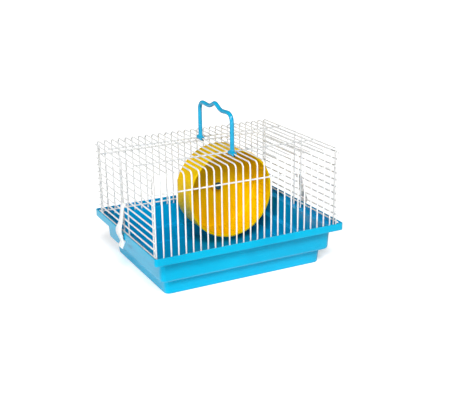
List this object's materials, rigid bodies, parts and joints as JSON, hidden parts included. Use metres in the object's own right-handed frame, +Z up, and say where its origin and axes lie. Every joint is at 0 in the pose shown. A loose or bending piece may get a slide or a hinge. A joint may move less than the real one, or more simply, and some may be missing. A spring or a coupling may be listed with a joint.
{
  "type": "hamster cage",
  "caption": "Small pet cage: moulded tray, lift-off wire top with swinging latches, folding carry handle and a running wheel on the rear wires.",
  "frame": {"origin": "middle of the tray's underside, on the surface the cage stands on", "axes": "+X along the long side, +Y to the rear wires that carry the wheel, +Z up"},
  "size_m": [0.286, 0.2204, 0.2203],
  "materials": {
    "tray_blue": "gloss moulded polypropylene",
    "coated_wire": "white plastic-coated steel wire",
    "latch_white": "white moulded plastic",
    "handle_blue": "gloss moulded plastic",
    "wheel_yellow": "gloss moulded plastic",
    "mount_blue": "gloss moulded plastic",
    "axle_steel": "drawn steel pin",
    "washer_nylon": "natural nylon",
    "screw_steel": "zinc-plated steel"
  },
  "bodies": {
    "tray": {"tray": "tray_blue"},
    "wire_top": {"front_wires": "coated_wire", "back_wires": "coated_wire", "roof_wires": "coated_wire", "front_cross_wire_lower": "coated_wire", "front_cross_wire_upper": "coated_wire", "back_cross_wire_lower": "coated_wire", "back_cross_wire_upper": "coated_wire", "roof_cross_wire_front": "coated_wire", "roof_cross_wire_rear": "coated_wire", "left_end_bars": "coated_wire", "left_end_upright_front": "coated_wire", "left_end_uprights_middle": "coated_wire", "left_end_upright_rear": "coated_wire", "right_end_bars": "coated_wire", "right_end_upright_front": "coated_wire", "right_end_uprights_middle": "coated_wire", "right_end_upright_rear": "coated_wire", "wheel_bracket": "mount_blue", "clamp_plate": "mount_blue", "clamp_screws": "screw_steel", "wheel_axle": "axle_steel", "axle_washer": "washer_nylon", "hub_cap": "mount_blue"},
    "left_latch": {"left_latch": "latch_white"},
    "right_latch": {"right_latch": "latch_white"},
    "handle": {"carry_handle": "handle_blue"},
    "wheel": {"wheel_drum": "wheel_yellow"}
  },
  "joints": [
    {"name": "top_lift", "type": "slide", "parent": "tray", "child": "wire_top", "axis": [0, 0, 1], "range_m": [0, 0.025]},
    {"name": "left_latch_swing", "type": "hinge", "parent": "wire_top", "child": "left_latch", "pos_m": [-0.132, 0, 0.0977], "axis": [0, 1, 0], "range_deg": [0, 140]},
    {"name": "right_latch_swing", "type": "hinge", "parent": "wire_top", "child": "right_latch", "pos_m": [0.132, 0, 0.0977], "axis": [0, -1, 0], "range_deg": [0, 140]},
    {"name": "handle_fold", "type": "hinge", "parent": "wire_top", "child": "handle", "pos_m": [0, -0.0035, 0.1608], "axis": [0, 1, 0], "range_deg": [-65, 65]},
    {"name": "wheel_spin", "type": "hinge", "parent": "wire_top", "child": "wheel", "pos_m": [0.04, 0.0557, 0.0768], "axis": [0, 1, 0], "continuous": true}
  ],
  "couplings": [
    {"joint": "left_latch_swing", "follows": "top_lift", "rad_per_m": 97.7},
    {"joint": "right_latch_swing", "follows": "top_lift", "rad_per_m": 97.7}
  ]
}
